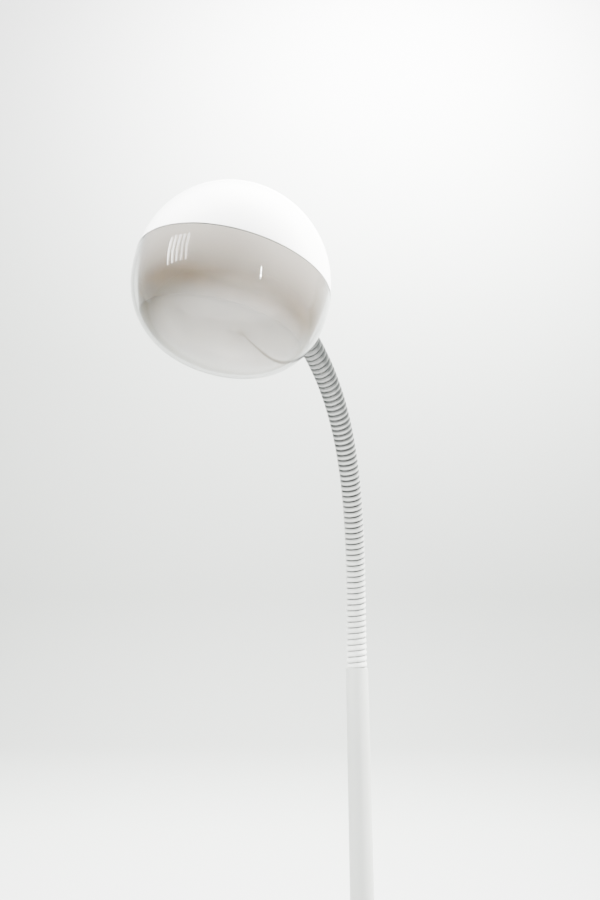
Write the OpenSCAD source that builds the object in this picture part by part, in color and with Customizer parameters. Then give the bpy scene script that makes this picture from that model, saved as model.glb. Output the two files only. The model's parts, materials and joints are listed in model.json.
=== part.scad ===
// Mobile examination lamp: a ball-shaped LED head on a flexible gooseneck, a pole and a five-castor base.
// Millimetres, +Z up. The origin is on the floor, on the pole's axis. -Y is the side the light leans to.

/* [Pole] */
// Outer diameter of the pole
pole_od = 20; // [16:0.5:26]
// Wall of the pole tubes
pole_wall = 1.5; // [1:0.1:2]
// Height of the pole's top end above the floor
pole_top = 1250; // [900:10:1500]
// Height at which the two pole tubes meet
pole_joint = 660; // [400:10:800]
// Length of the spigot that joins the two tubes
joiner_length = 120; // [60:5:200]

/* [Gooseneck] */
// Outer diameter of the gooseneck
neck_od = 18; // [15:0.5:20]
// Bore for the lamp's lead
lead_bore = 6; // [4:0.5:7]
// Rigid lengths that the gooseneck is divided into
link_count = 11; // [7:2:11]
// Length of each, from hinge to hinge
link_pitch = 28.1; // [24:0.1:36]
// Straight foot, from the pole's top to the first hinge
neck_foot = 14; // [12:1:40]
// Straight end, from the last hinge to the head's collar
neck_end_length = 27; // [20:1:40]
// Lean of the gooseneck's end from upright
neck_lean = 76.7; // [40:0.1:90]
// Growth of the lean along the gooseneck (1 is an even curve)
neck_lean_power = 1.12; // [0.8:0.01:2]
// Direction that the gooseneck starts to lean in, from +X
neck_heading = -86.9; // [-180:0.1:180]
// Turn of that direction along the gooseneck
neck_sweep = -30.5; // [-60:0.5:60]
// Depth of the gooseneck's plug in the pole
plug_depth = 40; // [25:1:60]
// Furthest that one hinge bends, either way
hinge_limit = 20; // [15:1:22]

/* [Head] */
// Radius of the white rear shell
shell_r = 63.1; // [55:0.1:75]
// Wall of the rear shell
shell_wall = 2.4; // [2:0.1:3]
// Radius of the clear front cover at its widest
cover_r = 63.8; // [56:0.1:76]
// Depth of the clear front cover below its widest plane
cover_depth = 57.6; // [50:0.1:75]
// Squareness of the cover's shoulder (2 is a plain ellipse)
cover_power = 2.4; // [2:0.05:2.8]
// Wall of the front cover
cover_wall = 2.2; // [1.6:0.1:3]
// Height of the rim, where shell and cover meet, above the ball's centre
rim_height = 3; // [3:0.5:12]
// Radius of the frosted diffuser's edge
diffuser_r = 51.5; // [44:0.5:55]
// Wall of the diffuser and of the pearl bowl
inner_wall = 1.5; // [1.2:0.1:2]
// Outward bulge of the pearl bowl's side
bowl_bulge = 1.6; // [0:0.1:2]
// Distance from the end of the gooseneck to the ball's axis
neck_reach = 67.4; // [60:0.1:90]
// Height at which the gooseneck's line crosses the ball's axis
neck_crossing = 24.2; // [18:0.1:34]
// Rise of the gooseneck's line away from the ball's axis
neck_rise = -9.5; // [-12:0.5:10]
// Turn of the head about the gooseneck's end
head_roll = 169; // [0:1:360]
// Diameter of the power button
button_d = 12; // [8:1:16]
// Travel of the power button
button_travel = 2; // [1:0.5:3]

/* [Light engine] */
// Diameter of the LED board
board_d = 64; // [40:1:72]
// LEDs in the outer ring; the inner ring has half as many
led_count = 12; // [6:2:16]
// Height of the heat sink's fins
fin_height = 18; // [8:1:24]
// Fins on the heat sink
fin_count = 9; // [5:2:13]

/* [Base] */
// Legs and castors
leg_count = 5; // [5:1:5]
// Distance from the pole's axis to each castor's stem
castor_circle = 265; // [220:5:320]
// Width of a leg at the hub
leg_width = 34; // [28:1:40]
// Thickness of a leg
leg_thick = 22; // [18:1:30]
// Radius of the hub
hub_r = 34; // [30:1:45]
// Height of the hub's neck around the pole, above the legs
hub_neck = 46; // [25:1:80]
// Bore of the cord gland
cord_bore = 7.2; // [6:0.1:8]

/* [Castors] */
// Diameter of a castor wheel
wheel_d = 50; // [40:1:60]
// Width of a castor wheel
wheel_w = 20; // [16:1:24]
// Distance of the axle behind the stem
castor_trail = 18; // [12:1:22]
// Diameter of the castor's stem
stem_d = 10; // [8:1:12]
// Diameter of the axle
axle_d = 8; // [6:0.5:10]

/* [Hidden] */
$fn = 64;
// Radial clearance of a running fit
run_fit = 0.05;
// Gap between parts that are assembled but not moving
seat = 0.1;
// Gap between a hinge ball and its socket
ball_gap = 0.3;
eps = 0.01;

// Poles
pole_r = pole_od / 2;
pole_bore_r = pole_r - pole_wall;
screw_d = 4;
screw_tip = 4.5;

// Gooseneck hinges: balls in sockets, each drawn in its own link's frame
neck_r = neck_od / 2;
socket_wall = 1.5;
ball_r = neck_r - socket_wall - ball_gap;
socket_skirt = 2;
shoulder_drop = socket_skirt + neck_r * sin(hinge_limit) + 0.9;
throat_r = 0.65 * ball_r;
body_count = link_count + 1;

// Head
collar_r = neck_r + 3;
collar_lap = 4;
thread_r = 6;
nut_r = 8.6;
nut_top = neck_reach - 40.6;
shell_bore_r = shell_r - shell_wall;
flange_h = 2.4;
flange_inner = cover_r - 10;
flange_top = rim_height - 0.4;
ring_h = 3;
ring_z = rim_height + 0.2;
ring_outer = shell_bore_r - 1.1;
ring_inner = 46;
seal_r = 0.9;
clamp_circle = flange_inner + 1.6;
seal_circle = clamp_circle + 2.7;
clamp_count = 6;
clamp_d = 2.5;
clamp_hole_r = clamp_d / 2 + 0.2;
clamp_head_d = 4.4;
clamp_head_h = 1.6;
bowl_gap = 0.3;
bowl_top = flange_top - flange_h - seat;
bowl_rim_r = cover_r - cover_wall - 0.25;
diffuser_gap = 0.25;
sink_z = ring_z + ring_h + seat;
sink_plate = 2.6;
sink_r = 55.5;
fin_reach = 38;
fin_t = 2;
board_h = 1.6;
led_size = 3.5;
led_h = 1;
driver_size = [44, 22, 1.6];
post_r = 2;
boss_r = 3.6;
boss_circle = 50;
boss_count = 3;
boss_turn = 60;
shell_screw_d = 3;
shell_screw_l = ring_h + sink_plate + 8;
shell_hole_r = shell_screw_d / 2 + 0.2;
shell_head_d = 5.4;
shell_head_h = 1.8;
button_r = button_d / 2;
button_stand = 2.6;
button_gap = 0.4;
button_cap = 5;
button_foot = shell_bore_r - 1 - button_cap;
switch_r = button_r + 2;
switch_h = 13;
profile_steps = 30;

// Base
leg_z = wheel_d + 14;
leg_end_r = 17;
leg_fall = 2;
slope_start = 110;
plate_h = 3;
plate_r = 88;
leg_top = leg_z + leg_thick;
hub_top = leg_top + hub_neck;
hub_neck_r = pole_r + 6;
plug_screw_z = pole_top - plug_depth / 2;
joiner_screw_z = pole_joint + joiner_length / 4;
hub_screw_z = hub_top - 8;
joiner_bore_r = pole_bore_r - 2;
pole_foot = leg_z + 4;
gland_z = leg_top + 22;
gland_heading = 90;
gland_r = cord_bore / 2 + 2;
gland_flange_r = gland_r + 2.5;
gland_flange = 3;
gland_inner = pole_bore_r + 0.2;
gland_length = hub_neck_r + gland_flange - gland_inner;
lead_r = lead_bore / 2 - 0.6;
lead_core_r = 0.5;
leg_screw_d = 6;
leg_screw_l = 12;
leg_head_d = 10;
leg_head_h = 3;
leg_screw_rows = [21, 48, 72];
leg_turn = 360 / leg_count;
leg_start = -90;

// Castors
stem_r = stem_d / 2;
stem_depth = 16;
stem_roof = 2;
fork_plate = 3;
fork_side = 2.5;
fork_gap = 1;
fork_top = leg_z - 1.2;
fork_clear = 3;
axle_r = axle_d / 2;
axle_head = 2;
axle_z = wheel_d / 2;
wheel_edge = 3;

LINK_NODES = [for (k = [1:link_count]) str("neck_link_", k)];
LEG_NODES = [for (k = [1:leg_count]) str("base_leg_", k)];
FORK_NODES = [for (k = [1:leg_count]) str("castor_fork_", k)];
AXLE_NODES = [for (k = [1:leg_count]) str("castor_axle_", k)];
WHEEL_NODES = [for (k = [1:leg_count]) str("castor_wheel_", k)];

// ---- Places along the gooseneck: body k starts at hinge k - 1 and lies along its own direction ----

function lean(k) = neck_lean * pow(k / body_count, neck_lean_power);
function heading(k) = neck_heading + neck_sweep * k / body_count;
function along(k) = [sin(lean(k)) * cos(heading(k)), sin(lean(k)) * sin(heading(k)), cos(lean(k))];
function hinge(k) = k == 0 ? [0, 0, pole_top + neck_foot] : hinge(k - 1) + link_pitch * along(k);

module at_link(k) {
    translate(hinge(k - 1)) rotate([0, lean(k), heading(k)]) children();
}

// The end of the gooseneck, where it meets the head's collar, with +Z into the head
module at_neck_end() {
    at_link(body_count) translate([0, 0, neck_end_length]) children();
}

// The ball's centre, with +Z along its axis towards the top of the rear shell
module at_head() {
    at_neck_end() translate([0, 0, neck_reach]) rotate([0, 0, head_roll])
        rotate([0, 90 + neck_rise, 0]) translate([0, 0, -neck_crossing]) children();
}

// The end of the gooseneck, seen from the ball's centre
module neck_end_in_head() {
    translate([0, 0, neck_crossing]) rotate([0, -90 - neck_rise, 0])
        translate([0, 0, -neck_reach]) children();
}

// ---- Head ----

// Outline of the cover's side, from the bottom of its axis up to the rim
function cover_points(r, depth) = concat(
    [for (i = [0:profile_steps]) let (a = 90 * i / profile_steps, q = 2 / cover_power)
        [r * pow(sin(a), q), -depth * pow(cos(a), q)]],
    [for (z = [2:2:flange_top - 1]) [sqrt(r * r - z * z), z]]
);

// Depth of the cover's outline at a distance from its axis
function cover_drop(r, depth, x) = depth * pow(1 - pow(x / r, cover_power), 1 / cover_power);

module dome(r, z_low) {
    difference() {
        sphere(r = r, $fn = 128);
        translate([0, 0, z_low - 2 * r]) cube(4 * r, center = true);
    }
}

module rear_shell() {
    color("white") at_head() {
        difference() {
            union() {
                difference() {
                    dome(shell_r, rim_height);
                    sphere(r = shell_bore_r, $fn = 128);
                }
                intersection() {
                    shell_bosses();
                    sphere(r = shell_bore_r + shell_wall / 2, $fn = 128);
                }
            }
            boss_places() translate([0, 0, ring_z]) cylinder(d = shell_screw_d, h = shell_screw_l + 1);
            translate([0, 0, shell_r - button_cap]) cylinder(r = button_r + button_gap, h = 2 * button_cap);
            neck_end_in_head() cylinder(r = thread_r + seat, h = neck_reach / 2);
        }
    }
}

module boss_places() {
    for (k = [0:boss_count - 1]) rotate([0, 0, boss_turn + k * 360 / boss_count])
        translate([boss_circle, 0, 0]) children();
}

module shell_bosses() {
    boss_places() translate([0, 0, sink_z + sink_plate + seat]) cylinder(r = boss_r, h = shell_r / 2);
}

module front_cover() {
    outer = cover_points(cover_r, cover_depth);
    inner = cover_points(cover_r - cover_wall, cover_depth - cover_wall);
    color([0.85, 0.87, 0.86, 0.35]) at_head() difference() {
        rotate_extrude($fn = 128) polygon(concat(
            outer,
            [[sqrt(cover_r * cover_r - flange_top * flange_top), flange_top]],
            [[flange_inner, flange_top], [flange_inner, flange_top - flange_h]],
            [[sqrt(pow(cover_r - cover_wall, 2) - pow(flange_top - flange_h, 2)), flange_top - flange_h]],
            [for (i = [profile_steps:-1:0]) inner[i]]
        ));
        clamp_holes();
    }
}

// The clamp screws stand to either side of the gooseneck's nut
module clamp_places() {
    for (k = [0:clamp_count - 1]) rotate([0, 0, (k + 0.5) * 360 / clamp_count])
        translate([clamp_circle, 0, 0]) children();
}

module clamp_holes() {
    clamp_places() translate([0, 0, -rim_height]) cylinder(r = clamp_hole_r, h = 2 * rim_height);
}

// The pearl bowl between the rim and the diffuser, with a flange under the cover's own
module inner_bowl() {
    foot_z = -cover_drop(cover_r - cover_wall, cover_depth - cover_wall, diffuser_r) + 2 * bowl_gap;
    foot_r = diffuser_r + bowl_gap;
    side = [for (i = [0:12]) let (t = i / 12)
        [foot_r + (bowl_rim_r - foot_r) * t + bowl_bulge * sin(180 * t), foot_z + (bowl_top - foot_z) * t]];
    color([0.80, 0.78, 0.75]) at_head() difference() {
        rotate_extrude($fn = 128) polygon(concat(
            side,
            [[clamp_circle - 3, bowl_top], [clamp_circle - 3, bowl_top - inner_wall]],
            [[bowl_rim_r - inner_wall, bowl_top - inner_wall]],
            [for (i = [11:-1:0]) side[i] - [inner_wall, 0]]
        ));
        clamp_holes();
    }
}

// The frosted dome that lies just inside the cover's face
module light_diffuser() {
    r = cover_r - cover_wall - diffuser_gap;
    depth = cover_depth - cover_wall - diffuser_gap;
    edge = diffuser_r - 1.5;
    face = [for (i = [0:16]) let (x = edge * i / 16) [x, -cover_drop(r, depth, x)]];
    color([0.93, 0.93, 0.91]) at_head() rotate_extrude($fn = 128) polygon(concat(
        face,
        [for (i = [16:-1:0]) face[i] + [0, inner_wall]]
    ));
}

module clamp_ring() {
    color("silver") at_head() difference() {
        translate([0, 0, ring_z]) cylinder(r = ring_outer, h = ring_h, $fn = 128);
        translate([0, 0, ring_z - 1]) cylinder(r = ring_inner, h = ring_h + 2, $fn = 128);
        seal_ring(seal_r + seat);
        clamp_places() translate([0, 0, ring_z - 1]) cylinder(d = clamp_d, h = ring_h + 2);
        boss_places() translate([0, 0, ring_z - 1]) cylinder(r = shell_hole_r, h = ring_h + 2);
        neck_end_in_head() cylinder(r = nut_r + seat, h = neck_reach / 2);
    }
}

module seal_ring(r) {
    translate([0, 0, ring_z]) rotate_extrude($fn = 128) translate([seal_circle, 0]) circle(r = r);
}

module cover_seal() {
    color([0.25, 0.25, 0.25]) at_head() difference() {
        seal_ring(seal_r);
        translate([0, 0, flange_top - 2]) cylinder(r = cover_r, h = 2 + seat / 2);
    }
}

module screw(d, length, head_d, head_h) {
    cylinder(d = head_d, h = head_h);
    translate([0, 0, head_h - eps]) cylinder(d = d, h = length + eps);
}

module clamp_screws() {
    color("silver") at_head() clamp_places()
        translate([0, 0, bowl_top - inner_wall - clamp_head_h - seat / 2])
            screw(clamp_d - 2 * seat, ring_z + ring_h - bowl_top + inner_wall, clamp_head_d, clamp_head_h);
}

module shell_screws() {
    color("silver") at_head() boss_places() translate([0, 0, ring_z - shell_head_h - seat / 2])
        screw(shell_screw_d - 2 * seat, shell_screw_l, shell_head_d, shell_head_h);
}

module heat_sink() {
    pitch = 2 * fin_reach / (fin_count - 1);
    color([0.72, 0.73, 0.75]) at_head() difference() {
        union() {
            translate([0, 0, sink_z]) cylinder(r = sink_r, h = sink_plate, $fn = 96);
            intersection() {
                for (k = [0:fin_count - 1]) translate([-sink_r, k * pitch - fin_reach - fin_t / 2, sink_z])
                    cube([2 * sink_r, fin_t, sink_plate + fin_height]);
                translate([0, 0, sink_z])
                    cylinder(r = fin_reach + fin_t, h = sink_plate + fin_height, $fn = 96);
                sphere(r = shell_bore_r - 8, $fn = 96);
            }
        }
        boss_places() translate([0, 0, sink_z - 1]) cylinder(r = shell_hole_r, h = sink_plate + 2);
        driver_pocket();
        neck_end_in_head() cylinder(r = nut_r + 2, h = neck_reach / 2);
        neck_end_in_head() cylinder(r = lead_r + 1, h = neck_reach);
        translate([0, 0, sink_z - 1]) cylinder(r = lead_r + 1, h = fin_height * 2);
    }
}

// Room in the fins for the driver board and the switch
module driver_pocket() {
    translate([-driver_size[0] / 2 - 2, -driver_size[1] / 2 - 2, sink_z + sink_plate])
        cube([driver_size[0] + 4, driver_size[1] + 4, 40]);
}

module led_board() {
    color([0.92, 0.93, 0.92]) at_head() difference() {
        translate([0, 0, sink_z - seat / 2 - board_h]) cylinder(d = board_d, h = board_h, $fn = 96);
        translate([0, 0, sink_z - 2 * board_h]) cylinder(r = lead_r + 1, h = 3 * board_h);
    }
}

module led_emitters() {
    color([0.95, 0.88, 0.45]) at_head() for (ring = [[0.40, led_count], [0.21, led_count / 2]])
        for (k = [0:ring[1] - 1]) rotate([0, 0, k * 360 / ring[1]])
            translate([board_d * ring[0], 0, sink_z - board_h - led_h / 2 - seat / 2])
                cube([led_size, led_size, led_h], center = true);
}

// The driver board on four posts, with its transformer, capacitor and terminal
module driver_board() {
    z = sink_z + sink_plate + 6;
    color([0.12, 0.42, 0.25]) at_head() union() {
        difference() {
            translate([-driver_size[0] / 2, -driver_size[1] / 2, z]) cube(driver_size);
            translate([0, 0, z - 1]) cylinder(r = lead_r + 0.6, h = 4);
        }
        for (x = [-1, 1], y = [-1, 1])
            translate([x * (driver_size[0] / 2 - 3), y * (driver_size[1] / 2 - 3), sink_z + sink_plate])
                cylinder(r = post_r, h = z - sink_z - sink_plate + eps);
        translate([-18, -7, z + driver_size[2] - eps]) cube([11, 14, 8]);
        translate([13, 3, z + driver_size[2] - eps]) cylinder(r = 4.5, h = 10);
        translate([9, -9, z + driver_size[2] - eps]) cube([9, 6, 6]);
    }
}

module push_switch() {
    color([0.15, 0.15, 0.16]) at_head() difference() {
        intersection() {
            translate([0, 0, button_foot + button_cap - switch_h]) cylinder(r = switch_r, h = switch_h + 2);
            sphere(r = shell_bore_r - seat / 2, $fn = 128);
        }
        translate([0, 0, button_foot - button_travel - 0.2]) cylinder(r = button_r + run_fit, h = switch_h);
    }
}

module power_button() {
    top = shell_r + button_stand;
    color([0.86, 0.86, 0.85]) at_head() intersection() {
        translate([0, 0, button_foot]) cylinder(r = button_r, h = top - button_foot);
        translate([0, 0, top - 2.2 * button_d]) sphere(r = 2.2 * button_d, $fn = 96);
    }
}

// The moulded collar that the gooseneck ends in, shaped to the shell
module neck_collar() {
    color("white") at_head() difference() {
        neck_end_in_head() translate([0, 0, -collar_lap]) cylinder(r = collar_r, h = neck_reach / 3);
        sphere(r = shell_r + seat / 2, $fn = 128);
        translate([0, 0, -cover_r]) cylinder(r = cover_r + seat, h = cover_r + rim_height, $fn = 128);
        neck_end_in_head() translate([0, 0, -collar_lap - 1]) cylinder(r = neck_r + seat, h = collar_lap + 1);
        neck_end_in_head() translate([0, 0, -1]) cylinder(r = thread_r + seat, h = neck_reach / 2);
    }
}

module neck_nut() {
    color("silver") at_head() difference() {
        intersection() {
            neck_end_in_head() cylinder(r = nut_r, h = nut_top, $fn = 6);
            sphere(r = shell_bore_r - seat / 2, $fn = 128);
        }
        neck_end_in_head() translate([0, 0, -1]) cylinder(r = thread_r + seat / 2, h = neck_reach / 2);
    }
}

// The gooseneck's last length: a socket, the straight end and the threaded tube into the head
module neck_end() {
    color([0.82, 0.82, 0.80]) at_link(body_count) difference() {
        union() {
            link_sleeve(neck_end_length - seat);
            translate([0, 0, neck_end_length - 1]) cylinder(r = thread_r, h = nut_top + 2);
        }
        link_hollow(neck_end_length + nut_top + 2);
    }
}

module head_lead() {
    color([0.88, 0.88, 0.86]) at_head() neck_end_in_head()
        translate([0, 0, 2]) cylinder(r = lead_r, h = nut_top + 12);
}

// ---- Gooseneck ----

// A sleeve with a socket round the hinge at z = 0
module link_sleeve(top) {
    translate([0, 0, -socket_skirt]) cylinder(r = neck_r, h = socket_skirt + top);
}

module link_hollow(top) {
    sphere(r = ball_r + ball_gap);
    translate([0, 0, -socket_skirt - 1]) cylinder(r = lead_bore / 2, h = top + socket_skirt + 3);
}

// The ball and its cone, with the ball's centre at z = 0
module link_ball() {
    sphere(r = ball_r);
    translate([0, 0, -shoulder_drop]) cylinder(r1 = neck_r, r2 = throat_r, h = 1);
}

module neck_link(k) {
    color([0.84, 0.84, 0.82]) at_link(k) difference() {
        union() {
            difference() {
                link_sleeve(link_pitch - shoulder_drop);
                sphere(r = ball_r + ball_gap);
            }
            translate([0, 0, link_pitch]) link_ball();
        }
        translate([0, 0, -socket_skirt - 1]) cylinder(r = lead_bore / 2, h = link_pitch + ball_r + 4);
    }
}

// The plug in the pole's top, with the first ball above it
module neck_base() {
    color([0.84, 0.84, 0.82]) translate([0, 0, pole_top]) difference() {
        union() {
            translate([0, 0, -plug_depth]) cylinder(r = pole_bore_r - run_fit, h = plug_depth + eps);
            cylinder(r = neck_r, h = neck_foot - shoulder_drop + eps);
            translate([0, 0, neck_foot]) link_ball();
        }
        translate([0, 0, -plug_depth - 1]) cylinder(d = lead_bore, h = plug_depth + 2 * neck_foot + ball_r);
        screw_hole_at(plug_screw_z - pole_top);
    }
}

// ---- Pole ----

module screw_hole_at(z) {
    translate([0, 0, z]) rotate([-90, 0, 0]) translate([0, 0, screw_tip - seat])
        cylinder(d = screw_d, h = hub_r);
}

module set_screw(z, outer) {
    translate([0, 0, z]) rotate([-90, 0, 0]) translate([0, 0, screw_tip])
        cylinder(d = screw_d - 2 * seat, h = outer - screw_tip);
}

module set_screws() {
    color("dimgray") {
        set_screw(plug_screw_z, pole_r);
        set_screw(joiner_screw_z, pole_r);
        set_screw(hub_screw_z, hub_neck_r);
    }
}

module tube(r, bore_r, low, high) {
    translate([0, 0, low]) difference() {
        cylinder(r = r, h = high - low);
        translate([0, 0, -1]) cylinder(r = bore_r, h = high - low + 2);
    }
}

module upper_pole() {
    color("whitesmoke") difference() {
        tube(pole_r, pole_bore_r, pole_joint + seat, pole_top);
        screw_hole_at(plug_screw_z);
        screw_hole_at(joiner_screw_z);
    }
}

module lower_pole() {
    color("whitesmoke") difference() {
        tube(pole_r, pole_bore_r, pole_foot, pole_joint);
        screw_hole_at(hub_screw_z);
        gland_hole();
    }
}

module pole_joiner() {
    color("silver") difference() {
        translate([0, 0, pole_joint - joiner_length / 2])
            tube(pole_bore_r - run_fit, joiner_bore_r, 0, joiner_length);
        screw_hole_at(joiner_screw_z);
    }
}

// The lamp's lead inside the pole, from above the cord gland to the gooseneck's plug
module pole_lead() {
    color([0.88, 0.88, 0.86]) tube(lead_r, lead_core_r, gland_z + 2 * gland_r, plug_screw_z - screw_d);
}

// ---- Base ----

module at_leg(k) {
    rotate([0, 0, leg_start + (k - 1) * leg_turn]) children();
}

module leg_screw_holes() {
    for (x = leg_screw_rows) translate([x, 0, leg_z - 1]) cylinder(d = leg_screw_d, h = leg_screw_l + 2);
}

module base_hub() {
    color([0.90, 0.90, 0.89]) difference() {
        union() {
            translate([0, 0, leg_z]) cylinder(r = hub_r, h = leg_thick);
            translate([0, 0, leg_top - eps]) cylinder(r1 = hub_r, r2 = hub_neck_r, h = 10);
            translate([0, 0, leg_top]) cylinder(r = hub_neck_r, h = hub_neck);
        }
        translate([0, 0, pole_foot]) cylinder(r = pole_r + run_fit, h = hub_top);
        gland_hole();
        screw_hole_at(hub_screw_z);
        for (k = [1:leg_count]) at_leg(k) leg_screw_holes();
    }
}

// The gland's axis, with +Z out of the hub's neck
module at_gland() {
    translate([0, 0, gland_z]) rotate([0, 0, gland_heading]) rotate([0, 90, 0]) children();
}

module gland_hole() {
    at_gland() cylinder(r = gland_r + seat, h = hub_neck_r + 2);
}

module cord_gland() {
    color([0.2, 0.2, 0.2]) at_gland() difference() {
        union() {
            translate([0, 0, gland_inner]) cylinder(r = gland_r, h = gland_length);
            difference() {
                translate([0, 0, gland_inner]) cylinder(r = gland_flange_r, h = gland_length);
                rotate([0, -90, 0]) translate([0, 0, -hub_neck])
                    cylinder(r = hub_neck_r + seat / 2, h = 2 * hub_neck);
            }
        }
        translate([0, 0, gland_inner - 1]) cylinder(d = cord_bore, h = gland_length + 2);
    }
}

module base_plate() {
    color([0.75, 0.76, 0.77]) difference() {
        translate([0, 0, leg_z - plate_h - seat]) cylinder(r = plate_r, h = plate_h, $fn = 96);
        for (k = [1:leg_count], x = leg_screw_rows) at_leg(k)
            translate([x, 0, leg_z - 2 * plate_h]) cylinder(d = leg_screw_d + 2 * seat, h = 3 * plate_h);
    }
}

module leg_screws() {
    color("silver") for (k = [1:leg_count], x = leg_screw_rows) at_leg(k)
        translate([x, 0, leg_z - plate_h - 1.5 * seat - leg_head_h])
            screw(leg_screw_d - 2 * seat, plate_h + leg_screw_l, leg_head_d, leg_head_h);
}

module base_leg(k) {
    color([0.92, 0.92, 0.91]) at_leg(k) difference() {
        translate([0, 0, leg_z]) linear_extrude(height = leg_thick) union() {
            translate([castor_circle, 0]) circle(r = leg_end_r);
            polygon([
                [hub_r * 0.7, -leg_width / 2], [castor_circle, -leg_end_r],
                [castor_circle, leg_end_r], [hub_r * 0.7, leg_width / 2]
            ]);
        }
        translate([0, 0, leg_z - 1]) cylinder(r = hub_r + seat / 2, h = leg_thick + 2);
        leg_slope();
        translate([castor_circle, 0, leg_z - 1])
            cylinder(r = stem_r + run_fit, h = stem_depth + 1 + stem_roof);
        leg_screw_holes();
        leg_mitre(1);
        leg_mitre(-1);
    }
}

// The top of a leg falls a little towards its castor
module leg_slope() {
    reach = castor_circle + leg_end_r - slope_start;
    translate([slope_start, -leg_width, leg_top]) rotate([0, atan(leg_fall / reach), 0])
        cube([2 * reach, 2 * leg_width, leg_thick]);
}

// Neighbouring legs are cut back so that they never meet
module leg_mitre(side) {
    rotate([0, 0, side * leg_turn / 2]) translate([0, side > 0 ? -seat : seat - 40, leg_z - 1])
        cube([hub_r * 3, 40, leg_thick + 2]);
}

// ---- Castors: each trails away from the pole at rest ----

module at_castor(k) {
    at_leg(k) translate([castor_circle, 0, 0]) children();
}

module fork_outline(width) {
    rotate([90, 0, 0]) translate([0, 0, -width / 2]) linear_extrude(height = width) children();
}

module castor_fork(k) {
    inner = wheel_w / 2 + fork_gap;
    outer = inner + fork_side;
    color([0.55, 0.56, 0.58]) at_castor(k) difference() {
        union() {
            translate([0, 0, fork_top - fork_plate]) cylinder(r = outer, h = fork_plate);
            translate([0, 0, fork_top - eps]) cylinder(r = stem_r, h = leg_z - fork_top + stem_depth);
            fork_outline(2 * outer) union() {
                polygon([
                    [-outer * 0.8, fork_top], [outer * 0.8, fork_top],
                    [castor_trail + axle_r + 3, axle_z], [castor_trail - axle_r - 3, axle_z]
                ]);
                translate([castor_trail, axle_z]) circle(r = axle_r + 3);
            }
        }
        fork_outline(2 * inner) union() {
            translate([castor_trail, axle_z]) circle(r = wheel_d / 2 + fork_clear);
            translate([-40, -40]) square([100, 40 + axle_z]);
        }
        fork_outline(3 * outer) translate([castor_trail, axle_z]) circle(r = axle_r);
    }
}

module castor_axle(k) {
    outer = wheel_w / 2 + fork_gap + fork_side;
    color("silver") at_castor(k) translate([castor_trail, 0, axle_z]) rotate([90, 0, 0]) {
        translate([0, 0, -outer - axle_head]) cylinder(r = axle_r - run_fit / 2, h = 2 * (outer + axle_head));
        for (side = [-1, 1]) translate([0, 0, side * (outer + axle_head / 2 + seat / 2)])
            cylinder(r = axle_r + 2, h = axle_head, center = true);
    }
}

module castor_wheel(k) {
    half = wheel_w / 2;
    color([0.30, 0.30, 0.31]) at_castor(k) translate([castor_trail, 0, axle_z]) rotate([90, 0, 0])
        rotate_extrude($fn = 96) polygon([
            [axle_r + run_fit, -half], [wheel_d / 4, -half], [wheel_d / 4 + 2, -half + 2],
            [wheel_d / 2 - 6, -half + 2], [wheel_d / 2 - 5, -half], [wheel_d / 2 - wheel_edge, -half],
            [wheel_d / 2, -half + wheel_edge], [wheel_d / 2, half - wheel_edge],
            [wheel_d / 2 - wheel_edge, half], [wheel_d / 2 - 5, half], [wheel_d / 2 - 6, half - 2],
            [wheel_d / 4 + 2, half - 2], [wheel_d / 4, half], [axle_r + run_fit, half]
        ]);
}

rear_shell();
front_cover();
inner_bowl();
light_diffuser();
clamp_ring();
cover_seal();
clamp_screws();
shell_screws();
heat_sink();
led_board();
led_emitters();
driver_board();
push_switch();
power_button();
neck_collar();
neck_nut();
head_lead();
neck_end();
for (k = [1:link_count]) neck_link(k);
neck_base();
set_screws();
upper_pole();
pole_joiner();
lower_pole();
pole_lead();
base_hub();
base_plate();
leg_screws();
cord_gland();
for (k = [1:leg_count]) base_leg(k);
for (k = [1:leg_count]) castor_fork(k);
for (k = [1:leg_count]) castor_axle(k);
for (k = [1:leg_count]) castor_wheel(k);
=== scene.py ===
import json
import math

import bmesh
import bpy
import numpy as np
from mathutils import Matrix, Vector

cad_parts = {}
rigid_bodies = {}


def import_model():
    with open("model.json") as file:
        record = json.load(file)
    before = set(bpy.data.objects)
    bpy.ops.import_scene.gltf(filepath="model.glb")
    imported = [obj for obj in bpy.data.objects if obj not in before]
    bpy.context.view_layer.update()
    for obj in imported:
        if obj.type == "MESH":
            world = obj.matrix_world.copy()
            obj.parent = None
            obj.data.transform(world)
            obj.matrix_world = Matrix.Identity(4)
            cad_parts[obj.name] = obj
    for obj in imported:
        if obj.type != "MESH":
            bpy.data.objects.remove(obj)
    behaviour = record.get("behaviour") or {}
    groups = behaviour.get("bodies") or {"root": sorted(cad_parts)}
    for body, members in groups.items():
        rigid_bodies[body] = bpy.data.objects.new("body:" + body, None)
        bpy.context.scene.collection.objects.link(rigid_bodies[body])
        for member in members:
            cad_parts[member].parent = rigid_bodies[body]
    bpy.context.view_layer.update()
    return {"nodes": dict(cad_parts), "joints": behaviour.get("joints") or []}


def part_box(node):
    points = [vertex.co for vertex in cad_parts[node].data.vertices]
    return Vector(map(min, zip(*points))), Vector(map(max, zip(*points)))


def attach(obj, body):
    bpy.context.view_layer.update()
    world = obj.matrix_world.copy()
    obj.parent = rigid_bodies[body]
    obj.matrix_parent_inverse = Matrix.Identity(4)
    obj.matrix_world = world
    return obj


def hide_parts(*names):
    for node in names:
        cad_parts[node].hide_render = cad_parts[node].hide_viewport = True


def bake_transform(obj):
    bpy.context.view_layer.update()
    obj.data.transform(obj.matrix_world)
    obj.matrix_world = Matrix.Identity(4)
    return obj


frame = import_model()
NODES = frame["nodes"]
JOINTS = {j["name"]: j for j in frame["joints"]}


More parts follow.
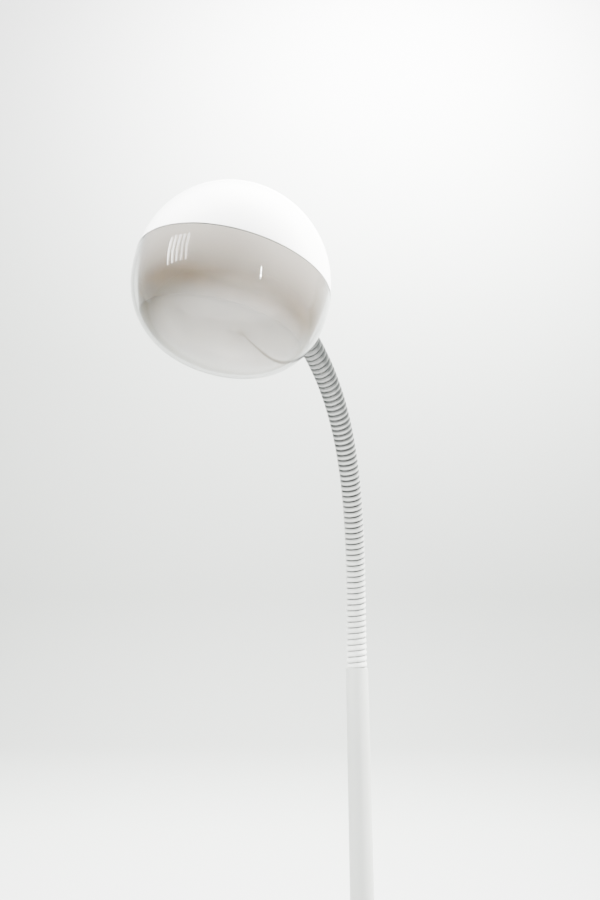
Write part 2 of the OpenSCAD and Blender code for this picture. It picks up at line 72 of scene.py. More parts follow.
# ---- Places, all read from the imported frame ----

def points_of(node):
    """A CAD node's points, as an array."""
    mesh = NODES[node].data
    flat = np.zeros(len(mesh.vertices) * 3)
    mesh.vertices.foreach_get("co", flat)
    return flat.reshape(-1, 3)


def neck_joints():
    """The gooseneck's joints from the pole to the head, in order."""
    by_parent = {j["parent"]: j for j in frame["joints"]
                 if j["child"].startswith("link_") or j["child"] == "head"}
    chain, body = [], "stand"
    while body in by_parent:
        chain.append(by_parent[body])
        body = by_parent[body]["child"]
    return chain


CHAIN = neck_joints()
HINGES = [Vector(j["pos_m"]) for j in CHAIN]
POLE_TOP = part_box("upper_pole")[1].z
NECK_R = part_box("neck_link_1")[1].x
NECK_END_LENGTH = 0.027  # from the last hinge to the head's collar
NECK_START = Vector((0, 0, POLE_TOP))
NECK_END = HINGES[-1] + (HINGES[-1] - HINGES[-2]).normalized() * NECK_END_LENGTH

SHELL_R, SHELL_WALL = 0.0631, 0.0024
COVER_R, COVER_DEPTH, COVER_POWER, COVER_WALL = 0.0638, 0.0576, 2.4, 0.0022
RIM = 0.003  # the shell's edge, above the ball's centre
COVER_TOP = RIM - 0.00005
COVER_INNER_R, COVER_INNER_DEPTH = COVER_R - COVER_WALL, COVER_DEPTH - COVER_WALL
DIFFUSER_R, INNER_WALL = 0.0515, 0.0015
BOWL_BULGE, BOWL_FLANGE = 0.0016, 0.0114
SEAT = 0.00025  # between the cover and what sits in it
BUTTON_R, BUTTON_GAP = 0.006, 0.0004
HEAD_STEPS = 192


def middle(node, direction):
    """The middle of a node's extent along a direction."""
    reach = points_of(node) @ np.array(direction)
    return (reach.min() + reach.max()) / 2


def head_matrix():
    """The ball's frame: its centre, +Z towards the top of the shell, +X towards the gooseneck's side."""
    up = -Vector(JOINTS["button_press"]["axis"]).normalized()
    collar, cover = (Vector([middle(node, v) for v in np.eye(3)])
                     for node in ("neck_collar", "front_cover"))
    side = collar - cover
    side = (side - up * side.dot(up)).normalized()
    across = up.cross(side)
    lowest = (points_of("front_cover") @ np.array(up)).min()
    m = Matrix((side, across, up)).transposed().to_4x4()
    m.translation = side * middle("front_cover", side) + across * middle("front_cover", across)
    m.translation += up * (lowest + COVER_DEPTH)
    return m


HEAD = head_matrix()


# ---- Mesh helpers ----

def new_object(name, mesh, matrix=None, sharp=35):
    obj = bpy.data.objects.new(name, mesh)
    bpy.context.scene.collection.objects.link(obj)
    if matrix is not None:
        mesh.transform(matrix)
    mesh.polygons.foreach_set("use_smooth", [True] * len(mesh.polygons))
    mesh.set_sharp_from_angle(angle=math.radians(sharp))
    mesh.update()
    return obj


def from_bmesh(name, bm, matrix=None, sharp=35):
    bmesh.ops.recalc_face_normals(bm, faces=bm.faces)
    mesh = bpy.data.meshes.new(name)
    bm.to_mesh(mesh)
    bm.free()
    return new_object(name, mesh, matrix, sharp)


def bezier(a, b, c, t):
    return a * (1 - t) ** 2 + b * (2 * t * (1 - t)) + c * t ** 2


def fillet(points, radii, steps=5):
    """A closed outline with its corners rounded, each by its own radius."""
    made = []
    for i, (p, r) in enumerate(zip(points, radii)):
        here = Vector(p)
        back = Vector(points[i - 1]) - here
        ahead = Vector(points[(i + 1) % len(points)]) - here
        reach = min(r, 0.49 * back.length, 0.49 * ahead.length)
        a, b = here + back.normalized() * reach, here + ahead.normalized() * reach
        made += [tuple(bezier(a, here, b, k / steps)) for k in range(steps + 1)]
    return made


def lathe(name, outline, matrix=None, steps=128, sharp=35, closed=True):
    """Turns an outline of (radius, height) about Z. Points on the axis become one point."""
    bm = bmesh.new()
    rings = []
    for r, z in outline:
        if r < 1e-6:
            rings.append([bm.verts.new((0, 0, z))])
        else:
            rings.append([bm.verts.new((r * math.cos(a), r * math.sin(a), z))
                          for a in (2 * math.pi * k / steps for k in range(steps))])
    pairs = list(zip(rings, rings[1:])) + ([(rings[-1], rings[0])] if closed else [])
    for low, high in pairs:
        if len(low) == 1 and len(high) == 1:
            continue
        for k in range(steps):
            n = (k + 1) % steps
            if len(low) == 1:
                bm.faces.new((low[0], high[n], high[k]))
            elif len(high) == 1:
                bm.faces.new((low[k], low[n], high[0]))
            else:
                bm.faces.new((low[k], low[n], high[n], high[k]))
    return from_bmesh(name, bm, matrix, sharp)


# ---- Materials ----

class Shader:
    """A material's node tree, with short calls for the nodes used here."""

    def __init__(self, name):
        self.material = bpy.data.materials.new(name)
        self.material.use_nodes = True
        self.tree = self.material.node_tree
        self.surface = self.tree.nodes["Principled BSDF"]

    def add(self, kind, **inputs):
        node = self.tree.nodes.new(kind)
        for key, value in inputs.items():
            node.inputs[key.replace("_", " ")].default_value = value
        return node

    def link(self, a, b):
        self.tree.links.new(a, b)

    def set(self, **values):
        for key, value in values.items():
            self.surface.inputs[key.replace("_", " ")].default_value = value

    def noise(self, scale, detail=3, roughness=0.5):
        node = self.add("ShaderNodeTexNoise", Scale=scale, Detail=detail, Roughness=roughness)
        self.link(self.tree.nodes.new("ShaderNodeTexCoord").outputs["Object"], node.inputs["Vector"])
        return node.outputs["Fac"]

    def attribute(self, name):
        """A value that the mesh carries at its points."""
        node = self.tree.nodes.new("ShaderNodeAttribute")
        node.attribute_name = name
        return node.outputs["Fac"]

    def mix(self, fac, a, b):
        """From a, a socket, to the plain colour b."""
        node = self.tree.nodes.new("ShaderNodeMix")
        node.data_type = "RGBA"
        node.inputs["B"].default_value = (*b, 1)
        self.link(fac, node.inputs["Factor"])
        self.link(a, node.inputs["A"])
        return node.outputs["Result"]

    def ramp(self, fac, low, high, a, b):
        """fac from low to high, as a value or colour from a to b."""
        if hasattr(a, "__len__"):
            node = self.tree.nodes.new("ShaderNodeMix")
            node.data_type = "RGBA"
            node.inputs["A"].default_value = (*a, 1)
            node.inputs["B"].default_value = (*b, 1)
            self.link(self.ramp(fac, low, high, 0, 1), node.inputs["Factor"])
            return node.outputs["Result"]
        node = self.tree.nodes.new("ShaderNodeMapRange")
        for key, value in (("From Min", low), ("From Max", high), ("To Min", a), ("To Max", b)):
            node.inputs[key].default_value = value
        self.link(fac, node.inputs["Value"])
        return node.outputs["Result"]

    def bump(self, height, strength, distance):
        node = self.add("ShaderNodeBump", Strength=strength, Distance=distance)
        self.link(height, node.inputs["Height"])
        self.link(node.outputs["Normal"], self.surface.inputs["Normal"])


def plastic(name, color, dark, rough, rough_range=0.05, grain=900, grain_depth=0.02, coat=0.0, spread=12):
    """Moulded plastic or paint: slow colour drift, a fine skin and uneven gloss."""
    s = Shader(name)
    s.set(Metallic=0.0, Coat_Weight=coat, Coat_Roughness=0.06)
    s.link(s.ramp(s.noise(spread, 4), 0.3, 0.7, dark, color), s.surface.inputs["Base Color"])
    s.link(s.ramp(s.noise(spread * 6, 5, 0.6), 0.3, 0.7, rough - rough_range, rough + rough_range),
           s.surface.inputs["Roughness"])
    s.bump(s.noise(grain, 2), grain_depth, 0.0004)
    return s


def metal(name, color, rough, depth=0.05):
    """Machined or plated metal, with fine marks."""
    s = Shader(name)
    s.set(Metallic=1.0)
    marks = s.noise(1500, 3, 0.6)
    s.link(s.ramp(s.noise(30, 4), 0.3, 0.7, tuple(0.86 * c for c in color), color),
           s.surface.inputs["Base Color"])
    s.link(s.ramp(marks, 0.3, 0.7, rough * 0.8, rough * 1.25), s.surface.inputs["Roughness"])
    s.bump(marks, depth, 0.0002)
    return s


shell_white = plastic("shell_white", (0.95, 0.95, 0.94), (0.93, 0.93, 0.92), 0.16, 0.03, 700, 0.012,
                      coat=0.4)
button_grey = plastic("button_grey", (0.62, 0.63, 0.63), (0.57, 0.58, 0.58), 0.42, 0.06, 1600, 0.05)
# Painted shade: the white pole is given a dark grey, for the dim light on it.
pole_white = plastic("pole_white", (0.29, 0.30, 0.285), (0.26, 0.27, 0.255), 0.34, 0.06, 1300, 0.06,
                     coat=0.15)
base_white = plastic("base_white", (0.78, 0.79, 0.77), (0.73, 0.74, 0.72), 0.36, 0.07, 1100, 0.07, coat=0.1)
castor_grey = plastic("castor_grey", (0.17, 0.175, 0.18), (0.13, 0.135, 0.14), 0.45, 0.08, 1800, 0.08)
switch_black = plastic("switch_black", (0.03, 0.03, 0.032), (0.022, 0.022, 0.024), 0.48, 0.08, 2000, 0.1)
seal_rubber = plastic("seal_rubber", (0.05, 0.05, 0.05), (0.03, 0.03, 0.03), 0.7, 0.1, 2500, 0.2)
board_white = plastic("board_white", (0.82, 0.83, 0.82), (0.78, 0.79, 0.78), 0.38, 0.05, 1500, 0.04)
board_green = plastic("board_green", (0.02, 0.13, 0.05), (0.015, 0.10, 0.04), 0.35, 0.06, 1500, 0.05)
led_yellow = plastic("led_yellow", (0.85, 0.70, 0.16), (0.80, 0.62, 0.12), 0.3, 0.05, 1500, 0.03)
lead_white = plastic("lead_white", (0.62, 0.62, 0.60), (0.56, 0.56, 0.54), 0.55, 0.08, 1800, 0.08)
ring_aluminium = metal("ring_aluminium", (0.78, 0.79, 0.80), 0.34)
screw_steel = metal("screw_steel", (0.58, 0.59, 0.60), 0.28)
steel_plain = metal("steel_plain", (0.60, 0.61, 0.62), 0.36, depth=0.08)
axle_steel = metal("axle_steel", (0.60, 0.61, 0.62), 0.24)
wheel_tread = plastic("wheel_tread", (0.055, 0.056, 0.058), (0.035, 0.035, 0.036), 0.62, 0.12, 1400, 0.25)


def clear_cover():
    """Clear moulded plastic with a faint grey cast, a few hair scratches and thin dust."""
    s = Shader("cover_clear")
    s.set(Transmission_Weight=1.0, IOR=1.49, Base_Color=(0.975, 0.98, 0.975, 1))
    s.link(s.ramp(s.noise(60, 5, 0.6), 0.45, 0.8, 0.006, 0.03), s.surface.inputs["Roughness"])
    s.bump(s.noise(18, 2), 0.02, 0.0008)
    return s


cover_clear = clear_cover()

# Painted shade: the white diffuser is given a dark warm grey for its downward face.
DIFFUSER_PAINTED_SHADE = (0.115, 0.091, 0.060)
# Painted shade: the bowl runs from its top tone down to a dark, warm low tone at its foot.
BOWL_TOP_TONE, BOWL_PAINTED_SHADE_TONE = (0.60, 0.54, 0.475), (0.115, 0.073, 0.033)
# Painted shade: the dark grey laid into the gooseneck's grooves.
GROOVE_PAINTED_SHADE = (0.03, 0.032, 0.031)


def pearl():
    """The bowl's satin pearl skin, with very fine flake. Its colour is painted shade by depth: from the top
    tone it darkens and warms towards the foot, and runs into the diffuser's grey there.
    """
    s = Shader("bowl_pearl")
    s.set(Metallic=0.0, Sheen_Weight=0.0, Coat_Weight=0.35, Coat_Roughness=0.22)
    drift = s.tree.nodes.new("ShaderNodeMath")
    s.link(s.attribute("depth"), drift.inputs[0])
    s.link(s.ramp(s.noise(11, 3), 0.3, 0.7, -0.12, 0.12), drift.inputs[1])
    depth = drift.outputs["Value"]
    # Painted shade: darker and warmer with depth down the bowl.
    wall = s.ramp(depth, 0.0, 0.7, BOWL_TOP_TONE, BOWL_PAINTED_SHADE_TONE)
    s.link(s.mix(s.ramp(depth, 0.80, 1.02, 0, 1), wall, DIFFUSER_PAINTED_SHADE), s.surface.inputs["Base Color"])
    s.link(s.ramp(s.noise(2600, 2), 0.3, 0.7, 0.34, 0.46), s.surface.inputs["Roughness"])
    s.bump(s.noise(2600, 2), 0.04, 0.0002)
    return s


bowl_pearl = pearl()


def frosted():
    """The diffuser: translucent white plastic with a fine etched skin. Its base colour is a dark warm grey,
    painted shade for its downward face.
    """
    s = Shader("diffuser_frosted")
    s.set(Transmission_Weight=0.12, IOR=1.45, Subsurface_Weight=0.0)
    s.link(s.ramp(s.noise(14, 3), 0.3, 0.7, tuple(0.94 * c for c in DIFFUSER_PAINTED_SHADE), DIFFUSER_PAINTED_SHADE),
           s.surface.inputs["Base Color"])
    s.link(s.ramp(s.noise(1800, 3), 0.3, 0.7, 0.5, 0.66), s.surface.inputs["Roughness"])
    s.bump(s.noise(1800, 3), 0.12, 0.0003)
    return s


diffuser_frosted = frosted()


def gooseneck_skin():
    """Satin sleeve over the wound strip. The mesh carries painted shade at its points: dark deep in each
    groove and darker all over towards the head.
    """
    s = Shader("gooseneck_satin")
    s.set(Metallic=0.0, Coat_Weight=0.12, Coat_Roughness=0.2)
    tone = s.ramp(s.noise(40, 4), 0.3, 0.7, (0.47, 0.485, 0.46), (0.53, 0.545, 0.52))
    # Painted shade: the skin runs to dark grey where the mesh's groove value is high.
    s.link(s.mix(s.ramp(s.attribute("groove"), 0.0, 0.48, 0.0, 1.0), tone, GROOVE_PAINTED_SHADE),
           s.surface.inputs["Base Color"])
    s.link(s.ramp(s.noise(300, 4, 0.6), 0.3, 0.7, 0.28, 0.42), s.surface.inputs["Roughness"])
    s.bump(s.noise(1400, 3), 0.06, 0.0003)
    return s


gooseneck_satin = gooseneck_skin()


def dress(obj, shader, body=None, replaces=()):
    """Gives a piece its material and the body it rides on."""
    if obj.data.materials:
        obj.data.materials[0] = shader.material
    else:
        obj.data.materials.append(shader.material)
    if body:
        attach(obj, body)
    if replaces:
        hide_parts(*replaces)
    return obj


# ---- Head ----

def sphere_arc(r, start, end, steps):
    """Points on a circle of radius r about the ball's centre, by height angle in degrees."""
    return [(r * math.cos(a), r * math.sin(a)) for a in np.radians(np.linspace(start, end, steps))]


def make_shell():
    """The white shell, with a rounded edge at the rim and a rounded hole for the button."""
    inner_r = SHELL_R - SHELL_WALL
    hole = BUTTON_R + BUTTON_GAP
    low = math.degrees(math.asin(RIM / SHELL_R))
    low_in = math.degrees(math.asin(RIM / inner_r))
    top = math.degrees(math.acos((hole + 0.0009) / SHELL_R))
    top_in = math.degrees(math.acos(hole / inner_r))
    outer = sphere_arc(SHELL_R, low + 0.2, top, 72)
    inner = sphere_arc(inner_r, top_in, low_in, 48)
    lip = [(math.sqrt(SHELL_R ** 2 - RIM ** 2) - 0.0002, RIM)]
    edge_z = math.sqrt(SHELL_R ** 2 - hole ** 2)
    throat = [(hole + 0.0002, edge_z - 0.0002), (hole, edge_z - 0.0008)]
    return lathe("shell", lip + outer + throat + inner, HEAD, steps=HEAD_STEPS)


def cover_outline(r, depth, steps=64):
    """The cover's side, from the bottom of its axis up to the rim."""
    q = 2 / COVER_POWER
    side = [(r * math.sin(a) ** q, -depth * math.cos(a) ** q) for a in np.linspace(0, math.pi / 2, steps)]
    side[0] = (0.0, -depth)
    return side + [(math.sqrt(r * r - z * z), z) for z in (0.001, 0.002, COVER_TOP - 0.0003)]


def cover_drop(r, depth, x):
    """How far the cover lies below the ball's middle, x from its axis."""
    return depth * (1 - (x / r) ** COVER_POWER) ** (1 / COVER_POWER)


def make_cover():
    """The clear cover: a plain wall from its nose up to the shell's edge."""
    outer = cover_outline(COVER_R, COVER_DEPTH)
    inner = cover_outline(COVER_INNER_R, COVER_INNER_DEPTH)[::-1]
    top = [(outer[-1][0] - 0.0003, COVER_TOP), (inner[0][0] + 0.0003, COVER_TOP)]
    return lathe("cover", outer + top + inner, HEAD, steps=HEAD_STEPS, closed=False)


def make_bowl():
    """The pearl bowl: a bulged side from the diffuser's edge up to a flange. It carries its own depth."""
    foot_z = -cover_drop(COVER_INNER_R, COVER_INNER_DEPTH, DIFFUSER_R) + 0.0006
    foot_r = DIFFUSER_R + 0.0001
    top_z = COVER_TOP - 0.0002
    rim_r = COVER_INNER_R - SEAT
    side = [(foot_r + (rim_r - foot_r) * t + BOWL_BULGE * math.sin(math.pi * t),
             foot_z + (top_z - foot_z) * t) for t in np.linspace(0, 1, 33)]
    flange_r, flange_z = COVER_R - BOWL_FLANGE, top_z - INNER_WALL
    flange = [(flange_r, top_z), (flange_r, flange_z), (rim_r - INNER_WALL, flange_z)]
    inside = [(r - INNER_WALL, z) for r, z in side[-2::-1]]
    bowl = lathe("bowl", side + flange + inside, steps=HEAD_STEPS)
    depths = [(top_z - v.co.z) / (top_z - foot_z) for v in bowl.data.vertices]
    bowl.data.attributes.new("depth", "FLOAT", "POINT").data.foreach_set("value", depths)
    bowl.data.transform(HEAD)
    return bowl


def make_diffuser():
    """The frosted disc: it follows the cover's nose and has a turned-up edge."""
    r, depth = COVER_INNER_R - SEAT, COVER_INNER_DEPTH - SEAT
    edge = DIFFUSER_R - 0.0002
    face = [(x, -cover_drop(r, depth, x)) for x in np.linspace(0, edge, 48)]
    face = face[:-1] + [(edge - 0.0001, face[-1][1] + 0.0001), (edge, face[-1][1] + 0.0007)]
    back = [(x, z + INNER_WALL) for x, z in face[-3::-1]]
    return lathe("diffuser", face + back, HEAD, steps=HEAD_STEPS, closed=False)


def make_button():
    """The push button, dished for a fingertip."""
    up = HEAD.to_3x3().col[2]
    heights = points_of("power_button") @ np.array(up)
    centre = HEAD.translation.dot(up)
    foot, top = heights.min() - centre, heights.max() - centre
    dish = [(0.0, top - 0.0007), (0.0026, top - 0.00055), (0.0042, top - 0.0001), (0.0047, top)]
    side = [(0.0053, top - 0.0001), (0.0058, top - 0.0005), (BUTTON_R, top - 0.0013)]
    side += [(BUTTON_R, foot), (0.0, foot)]
    return lathe("button", dish + side, HEAD, steps=72, closed=False)


dress(make_shell(), shell_white, "head", ["rear_shell"])
dress(make_cover(), cover_clear, "head", ["front_cover"])
dress(make_bowl(), bowl_pearl, "head", ["inner_bowl"])
dress(make_diffuser(), diffuser_frosted, "head", ["light_diffuser"])
dress(make_button(), button_grey, "button", ["power_button"])

# ---- Gooseneck: one ribbed skin over all the links, in lengths that each bend across one hinge ----

RIB_PITCH = 0.00515
RIB_DEPTH = 0.0017
CREST = 0.40  # where a rib's top lies in its pitch
SKIN_SIDES = 56
RINGS_PER_RIB = 14
CURVE_STEPS = 60


def centre_line():
    """Points along the gooseneck's middle, and where each hinge's length of skin ends."""
    middles = [(a + b) / 2 for a, b in zip(HINGES, HINGES[1:])]
    stops = [NECK_START] + middles + [NECK_END]
    points, marks = [NECK_START], [0.0]
    length = 0.0
    for a, b, c in zip(stops, HINGES, stops[1:]):
        for k in range(1, CURVE_STEPS + 1):
            p = bezier(a, b, c, k / CURVE_STEPS)
            length += (p - points[-1]).length
            points.append(p)
        marks.append(length)
    return points, marks


def rib(u):
    """How far a point of the skin lies below the ribs' tops, from 0 to 1, by its place u in the rib."""
    u -= math.floor(u)
    x = (CREST - u) / CREST if u < CREST else (u - CREST) / (1 - CREST)
    round_top = 1 - math.sqrt(max(0.0, 1 - (0.98 * x) ** 2))
    groove = max(0.0, (x - 0.72) / 0.28) ** 1.3
    return min(1.0, 0.70 * round_top + 0.50 * groove)


def painted_groove_shade(depth, way):
    """Painted shade on the skin: darker by a point's depth below the ribs' tops, and darker all over
    towards the head (way 1).
    """
    return depth ** 0.75 * (0.30 + 1.1 * way) + 0.46 * way ** 1.3 + 0.05


def skin_lengths():
    """The ribbed skin, as one length for each hinge that bends across it."""
    points, marks = centre_line()
    line = np.array(points)
    steps = np.linalg.norm(np.diff(line, axis=0), axis=1)
    along = np.concatenate([[0], np.cumsum(steps)])
    tangents = np.gradient(line, along, axis=0)
    tangents /= np.linalg.norm(tangents, axis=1)[:, None]
    normals = [np.array([0.0, -1.0, 0.0])]
    for t in tangents[1:]:
        n = normals[-1] - t * (normals[-1] @ t)
        normals.append(n / np.linalg.norm(n))
    normals = np.array(normals)
    made = []
    for k, (low, high) in enumerate(zip(marks, marks[1:])):
        count = max(8, round((high - low) / RIB_PITCH * RINGS_PER_RIB))
        verts, depths = [], []
        for s in np.linspace(low, high, count + 1):
            p, t, n = (np.array([np.interp(s, along, v[:, i]) for i in range(3)])
                       for v in (line, tangents, normals))
            t /= np.linalg.norm(t)
            n = n - t * (n @ t)
            n /= np.linalg.norm(n)
            b = np.cross(t, n)
            for i in range(SKIN_SIDES):
                a = 2 * math.pi * i / SKIN_SIDES
                d = rib(s / RIB_PITCH - i / SKIN_SIDES)
                verts.append(p + (n * math.cos(a) + b * math.sin(a)) * (NECK_R - RIB_DEPTH * d))
                depths.append(painted_groove_shade(d, s / marks[-1]))
        faces = [(r * SKIN_SIDES + i, r * SKIN_SIDES + (i + 1) % SKIN_SIDES,
                  (r + 1) * SKIN_SIDES + (i + 1) % SKIN_SIDES, (r + 1) * SKIN_SIDES + i)
                 for r in range(count) for i in range(SKIN_SIDES)]
        mesh = bpy.data.meshes.new(f"neck_skin_{k}")
        mesh.from_pydata([tuple(v) for v in verts], [], faces)
        # The groove value holds painted shade, from each point's rib depth and its way along the neck.
        mesh.attributes.new("groove", "FLOAT", "POINT").data.foreach_set("value", depths)
        obj = new_object(f"neck_skin_{k}", mesh, sharp=180)
        dress(obj, gooseneck_satin)
        a, b = CHAIN[k]["parent"], CHAIN[k]["child"]
        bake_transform(obj)
        made.append(obj)
    return made


skins = skin_lengths()
for k, skin in enumerate(skins):
    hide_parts("neck_base" if k == 0 else f"neck_link_{k}")
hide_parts("neck_end")

# ---- Base: legs and wheels ----

LEG_LOW, LEG_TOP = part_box("base_hub")[0].z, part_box("base_leg_1")[1].z
LEG_HALF, WAIST_HALF = 0.017, 0.0125
LEG_START, LEG_FALL = 0.0285, 0.002
WAIST_START, WAIST_IN, WAIST_OUT = 0.05, 0.06, 0.055  # where it starts, and its two tapers' lengths
PAD_REACH = 0.07  # from the waist's end to the castor's axis
PAD_DROP, PAD_LIFT = 0.004, 0.0015  # the pad's rounding above and below
LEG_CROWN, LEG_FOOT = 0.007, 0.0015
TYRE_INNER_R = 0.0163


def smooth(x):
    """A soft step from 0 to 1."""
    x = min(1.0, max(0.0, x))
    return x * x * (3 - 2 * x)


def make_leg(k):
    """A cast leg: a crowned bar with a waist, and a round pad over its castor."""
    pivot = Vector(JOINTS[f"castor_swivel_{k}"]["pos_m"])
    circle = pivot.xy.length
    pad_end = circle + LEG_HALF
    stations = list(np.linspace(LEG_START, circle, 34))
    stations += [circle + LEG_HALF * math.sin(a) for a in np.linspace(0.12, 1.50, 12)]
    bm = bmesh.new()
    rings = []
    for x in stations:
        waist = smooth((x - WAIST_START) / WAIST_IN)
        waist *= 1 - smooth((x - circle + PAD_REACH) / WAIST_OUT)
        half = LEG_HALF - (LEG_HALF - WAIST_HALF) * waist
        past = max(0.0, x - circle)
        half = math.sqrt(max(half ** 2 - past ** 2, 1e-7))
        top = LEG_TOP - LEG_FALL * smooth((x - WAIST_START) / (pad_end - WAIST_START))
        top -= PAD_DROP * (1 - math.sqrt(1 - (past / LEG_HALF) ** 2))
        low = LEG_LOW + PAD_LIFT * (past / LEG_HALF) ** 4
        corners = [(-half, low), (half, low), (half, top), (-half, top)]
        crown = min(LEG_CROWN, 0.6 * half)
        outline = fillet(corners, [LEG_FOOT, LEG_FOOT, crown, crown])
        rings.append([bm.verts.new((x, y, z)) for y, z in outline])
    for a, b in zip(rings, rings[1:]):
        for i in range(len(a)):
            n = (i + 1) % len(a)
            bm.faces.new((a[i], a[n], b[n], b[i]))
    bm.faces.new(rings[0])
    bm.faces.new(rings[-1])
    turn = Matrix.Rotation(math.atan2(pivot.y, pivot.x), 4, "Z")
    return from_bmesh(f"leg_{k}", bm, turn, sharp=50)


def make_wheel(k):
    """A castor wheel: a grooved tread on a dished hub with a bearing boss on each side."""
    joint = JOINTS[f"wheel_spin_{k}"]
    axis = Vector(joint["axis"]).normalized()
    matrix = Matrix.Translation(joint["pos_m"]) @ axis.to_track_quat("Z", "Y").to_matrix().to_4x4()
    half = [(0.0044, 0.0100), (0.0070, 0.0100), (0.0076, 0.0094), (0.0082, 0.0066), (0.0092, 0.0058),
            (0.0148, 0.0054), (0.0158, 0.0060), (0.0162, 0.0076), (0.0170, 0.0086), (0.0185, 0.0094),
            (0.0212, 0.0098), (0.0232, 0.0093), (0.0244, 0.0080), (0.0249, 0.0062), (0.0250, 0.0040),
            (0.0250, 0.0029), (0.0244, 0.0026), (0.0244, 0.0017), (0.0250, 0.0014)]
    outline = half + [(r, -z) for r, z in half[::-1]]
    wheel = lathe(f"wheel_{k}", outline, steps=96, sharp=42)
    for face in wheel.data.polygons:
        face.material_index = int(math.hypot(face.center.x, face.center.y) < TYRE_INNER_R)
    wheel.data.transform(matrix)
    return wheel


for k in range(1, 6):
    dress(make_leg(k), base_white, "stand", [f"base_leg_{k}"])
    wheel = dress(make_wheel(k), wheel_tread, f"wheel_{k}", [f"castor_wheel_{k}"])
    wheel.data.materials.append(castor_grey.material)

# ---- CAD nodes that stay, with their own materials ----

KEPT = {
    "neck_collar": shell_white, "neck_nut": screw_steel, "head_lead": lead_white,
    "clamp_ring": ring_aluminium, "heat_sink": ring_aluminium, "cover_seal": seal_rubber,
    "clamp_screws": screw_steel, "shell_screws": screw_steel, "led_board": board_white,
    "led_emitters": led_yellow, "driver_board": board_green, "push_switch": switch_black,
    "set_screws": screw_steel, "leg_screws": screw_steel, "pole_lead": lead_white,
    "pole_joiner": steel_plain, "base_plate": steel_plain, "cord_gland": switch_black,
    "upper_pole": pole_white, "lower_pole": pole_white, "base_hub": base_white,
}
for k in range(1, 6):
    KEPT[f"castor_fork_{k}"] = castor_grey
    KEPT[f"castor_axle_{k}"] = axle_steel
EDGES = {
    "neck_collar": 0.0008, "upper_pole": 0.0007, "lower_pole": 0.0005, "base_hub": 0.0016,
    "cord_gland": 0.0006, "base_plate": 0.0006, "leg_screws": 0.0004, "set_screws": 0.0002,
    "pole_joiner": 0.0004,
}
for k in range(1, 6):
    EDGES[f"castor_fork_{k}"] = 0.0006
    EDGES[f"castor_axle_{k}"] = 0.0005


def soften(obj, width):
    """Joins a CAD node's loose facets and rounds its sharp edges."""
    weld = obj.modifiers.new("weld", "WELD")
    weld.merge_threshold = 1e-6
    bevel = obj.modifiers.new("soft_edges", "BEVEL")
    bevel.width, bevel.segments, bevel.harden_normals = width, 3, True
    bevel.limit_method, bevel.angle_limit = "ANGLE", math.radians(40)


for node, shader in KEPT.items():
    NODES[node].data.materials.clear()
    NODES[node].data.materials.append(shader.material)
for node, width in EDGES.items():
    soften(NODES[node], width)

# ---- Studio ----

STAGE_HALF, STAGE_FRONT, COVE_START, COVE_R, WALL_TOP = 12, -10.0, 3.2, 1.6, 9.0
TONE_TOP = 8
# Painted shade on the stage by height: darker across the lower wall, pale on the floor and near the top.
WALL_PAINTED_SHADE = ((0.15, 0.84), (0.55, 0.50), (1.6, 0.42), (4.2, 0.62))  # height, grey


def make_stage():
    """A pale floor that curves up into a wall behind the lamp, with painted shade by height: pale on the
    floor, darkest across the lower wall, bright again towards the top.
    """
    outline = [(STAGE_FRONT, 0.0), (COVE_START, 0.0)]
    outline += [(COVE_START + COVE_R * math.sin(a), COVE_R - COVE_R * math.cos(a))
                for a in np.linspace(0.06, math.pi / 2, 24)]
    outline += [(COVE_START + COVE_R, WALL_TOP)]
    bm = bmesh.new()
    rows = [[bm.verts.new((x, y, z)) for x in np.linspace(-STAGE_HALF, STAGE_HALF, 9)] for y, z in outline]
    for a, b in zip(rows, rows[1:]):
        for k in range(8):
            bm.faces.new((a[k], a[k + 1], b[k + 1], b[k]))
    obj = from_bmesh("studio_floor", bm, sharp=180)
    s = Shader("studio_pale")
    s.set(Roughness=0.8, Specular_IOR_Level=0.2)
    place = s.tree.nodes.new("ShaderNodeTexCoord").outputs["Object"]
    axes = s.tree.nodes.new("ShaderNodeSeparateXYZ")
    s.link(place, axes.inputs["Vector"])
    # Painted shade by height.
    tone = s.tree.nodes.new("ShaderNodeValToRGB")
    s.link(s.ramp(axes.outputs["Z"], 0, TONE_TOP, 0, 1), tone.inputs["Fac"])
    stops = tone.color_ramp.elements
    stops[0].color, stops[1].color = (0.86, 0.87, 0.86, 1), (0.95, 0.95, 0.945, 1)
    for height, grey in WALL_PAINTED_SHADE:
        stops.new(height / TONE_TOP).color = (0.965 * grey, grey, 0.955 * grey, 1)
    s.link(tone.outputs["Color"], s.surface.inputs["Base Color"])
    obj.data.materials.append(s.material)


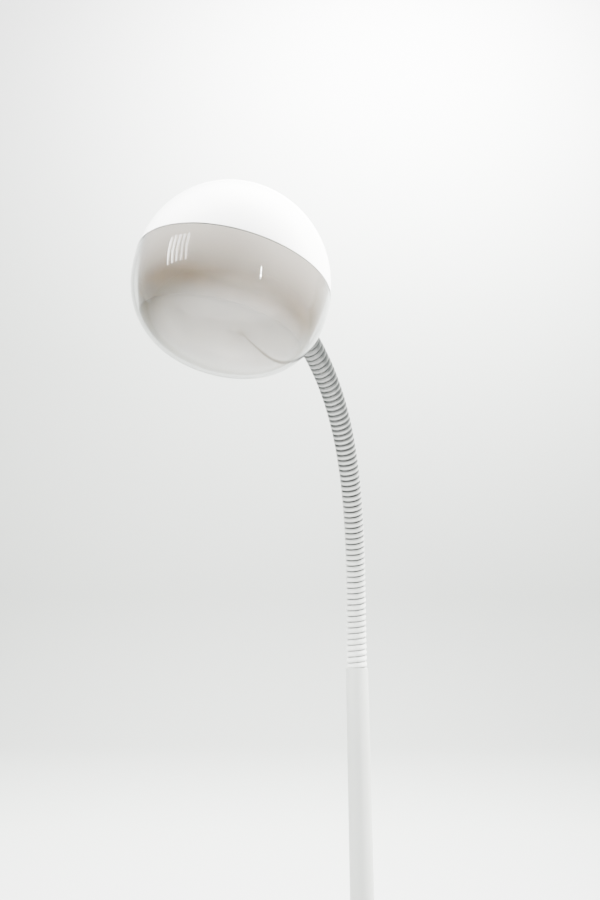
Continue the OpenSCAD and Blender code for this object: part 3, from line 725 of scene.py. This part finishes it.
def area(name, location, target, size, power, color=(1, 1, 1), size_y=None):
    """A soft light, aimed at a point."""
    light = bpy.data.lights.new(name, "AREA")
    light.energy, light.color, light.size = power, color, size
    if size_y:
        light.shape, light.size_y = "RECTANGLE", size_y
    obj = bpy.data.objects.new(name, light)
    bpy.context.scene.collection.objects.link(obj)
    obj.location = location
    obj.rotation_mode = "QUATERNION"
    obj.rotation_quaternion = (Vector(target) - Vector(location)).to_track_quat("-Z", "Y")
    return obj


make_stage()
HEAD_AT = tuple(HEAD.translation)
for soft in (area("key_right", (1.3, 0.1, 2.7), HEAD_AT, 0.9, 800, (1.0, 0.99, 0.97)),
             area("top_soft", (-0.5, -0.5, 3.2), HEAD_AT, 1.5, 700)):
    soft.visible_glossy = False

# The window that shines on the cover: upright strips side by side.
PANE, PANE_ALONG = Vector((-1.79, -1.48, 2.30)), Vector((0.55, -0.82, 0)).normalized()
STRIP_PITCH, STRIP_WIDTH, STRIP_HEIGHT = 0.20, 0.055, 0.95
STRIP_POWERS = (13, 13, 9, 6, 5)
for k, power in enumerate(STRIP_POWERS):
    place = PANE + PANE_ALONG * STRIP_PITCH * (k - 2)
    area(f"window_{k}", place, HEAD_AT, STRIP_WIDTH, power, (1.0, 0.99, 0.96), size_y=STRIP_HEIGHT)
area("slit", (1.24, -2.05, 1.24), HEAD_AT, 0.035, 16, size_y=0.5)
area("wall_wash", (1.0, 1.8, 6.6), (1.0, 5.2, 5.4), 3.0, 1700)

world = bpy.data.worlds.new("studio")
bpy.context.scene.world = world
world.use_nodes = True
sky = world.node_tree.nodes["Background"]
sky.inputs["Color"].default_value = (0.93, 0.95, 0.94, 1)
sky.inputs["Strength"].default_value = 1.3

# ---- Camera: the photograph's view ----

camera = bpy.data.objects.new("camera", bpy.data.cameras.new("camera"))
bpy.context.scene.collection.objects.link(camera)
camera.data.lens = 26.8
camera.data.sensor_width = 36
camera.data.clip_start = 0.02
camera.location = (-0.0511, -0.6315, POLE_TOP + 0.0257)
camera.rotation_euler = (math.radians(105.7), 0, 0)
bpy.context.scene.camera = camera
